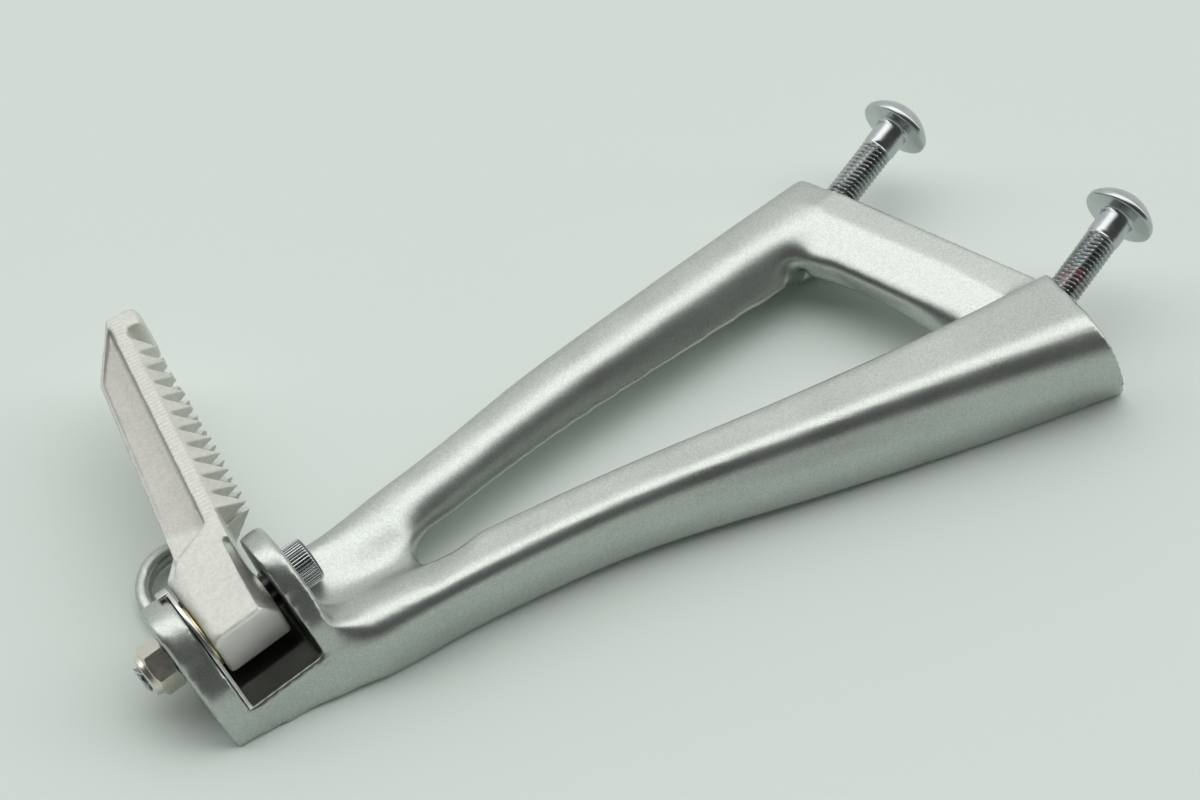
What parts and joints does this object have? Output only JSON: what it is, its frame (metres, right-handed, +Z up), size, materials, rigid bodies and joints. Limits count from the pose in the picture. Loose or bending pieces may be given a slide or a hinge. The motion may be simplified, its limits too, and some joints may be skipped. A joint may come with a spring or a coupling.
{
  "type": "motorcycle footrest hanger",
  "caption": "V-shaped cast footrest hanger with a folding toothed peg in a clevis, a luggage eye and button-head bolts standing in its frame bosses.",
  "frame": {"origin": "on the underside of the clevis, straight below the middle of the pivot pin", "axes": "+X from the clevis towards the frame bolts, +Y along the folded peg, +Z up from the back the part lies on to its outer face"},
  "size_m": [0.3188, 0.1759, 0.0407],
  "materials": {
    "silver_paint": "satin silver metallic paint with a fine sparkle",
    "cast_aluminium": "tumbled raw casting",
    "zinc_steel": "bright zinc plate",
    "warm_zinc_steel": "zinc plate, slightly warm",
    "bright_steel": "bright rolled sheet",
    "yellow_zinc_steel": "yellow zinc plate",
    "nylon": "plain nylon"
  },
  "bodies": {
    "hanger": {"hanger_casting": "silver_paint", "pivot_screw": "zinc_steel", "lock_nut": "warm_zinc_steel", "lock_nut_insert": "nylon", "click_plate": "bright_steel", "thrust_washer": "yellow_zinc_steel", "frame_bolt_upper": "zinc_steel", "frame_bolt_lower": "zinc_steel"},
    "peg": {"footpeg": "cast_aluminium", "detent_ball": "bright_steel", "detent_spring": "bright_steel"}
  },
  "joints": [
    {"name": "peg_fold", "type": "hinge", "parent": "hanger", "child": "peg", "pos_m": [0, 0, 0.01996], "axis": [0.9781, 0, 0.2079], "range_deg": [0, 90]}
  ]
}
